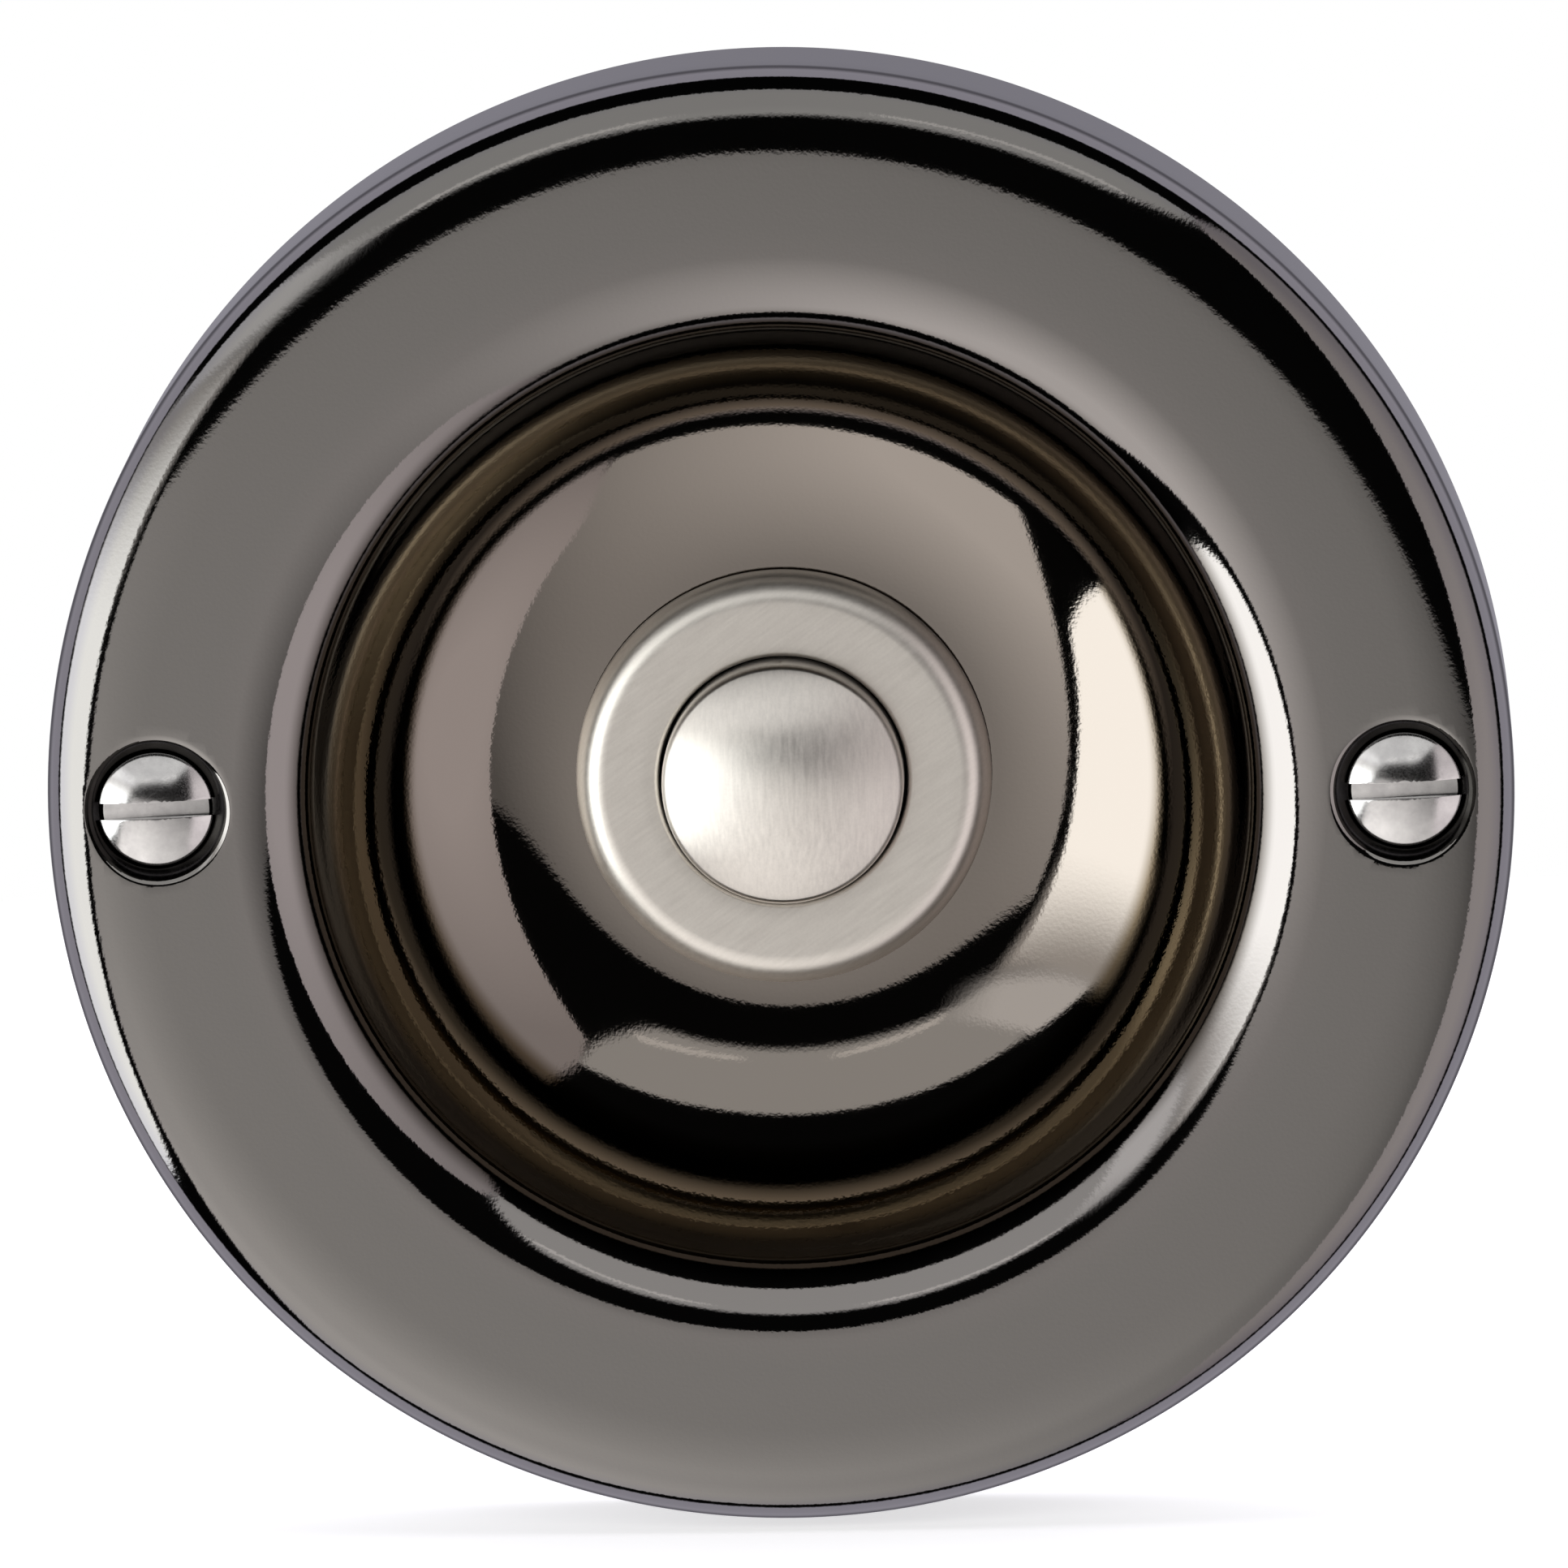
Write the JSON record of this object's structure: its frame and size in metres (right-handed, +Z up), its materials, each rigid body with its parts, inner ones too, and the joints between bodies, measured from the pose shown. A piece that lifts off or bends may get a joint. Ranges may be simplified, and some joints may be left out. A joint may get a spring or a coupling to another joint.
{
  "type": "doorbell push button",
  "caption": "Round dished bell push with a polished rose, countersunk wall screws, and a satin bezel whose domed button slides in against a spring to close a bell circuit.",
  "frame": {"origin": "centre of the rose in the plane of the wall", "axes": "+Y into the wall, +Z up the wall, +X to the right as the front is seen; the front faces -Y"},
  "size_m": [0.076, 0.0324, 0.076],
  "materials": {
    "black_nickel": "polished black nickel plate on cast brass",
    "satin_nickel": "satin nickel plate on turned brass",
    "button_nickel": "fine spun satin nickel plate on turned brass",
    "bright_nickel": "bright nickel plate on brass screws",
    "seal_rubber": "smooth black rubber",
    "plated_nut": "dull nickel plate",
    "spring_steel": "oiled spring steel",
    "black_resin": "moulded black phenolic",
    "natural_nylon": "moulded natural nylon",
    "strip_brass": "bare rolled brass strip",
    "contact_silver": "silver contact alloy",
    "wire_screw_plate": "bright plate"
  },
  "bodies": {
    "backplate": {"rose": "black_nickel", "fixing_screws": "bright_nickel", "switch_bezel": "satin_nickel", "bezel_gasket": "seal_rubber", "lock_washer": "spring_steel", "ring_nut": "plated_nut", "return_spring": "spring_steel", "terminal_tips": "contact_silver", "switch_base": "black_resin", "base_clip": "spring_steel", "terminal_left": "strip_brass", "terminal_right": "strip_brass", "wire_screws": "wire_screw_plate", "wire_washers": "wire_screw_plate"},
    "button": {"push_button": "button_nickel", "button_seal": "seal_rubber", "stem_clip": "spring_steel", "contact_foot": "natural_nylon", "contact_bridge": "strip_brass", "bridge_tips": "contact_silver"}
  },
  "joints": [
    {"name": "button_press", "type": "slide", "parent": "backplate", "child": "button", "axis": [0, 1, 0], "range_m": [0, 0.0015], "stiffness_N_per_m": 700, "springref_m": -0.002, "deforming": ["return_spring"]}
  ]
}
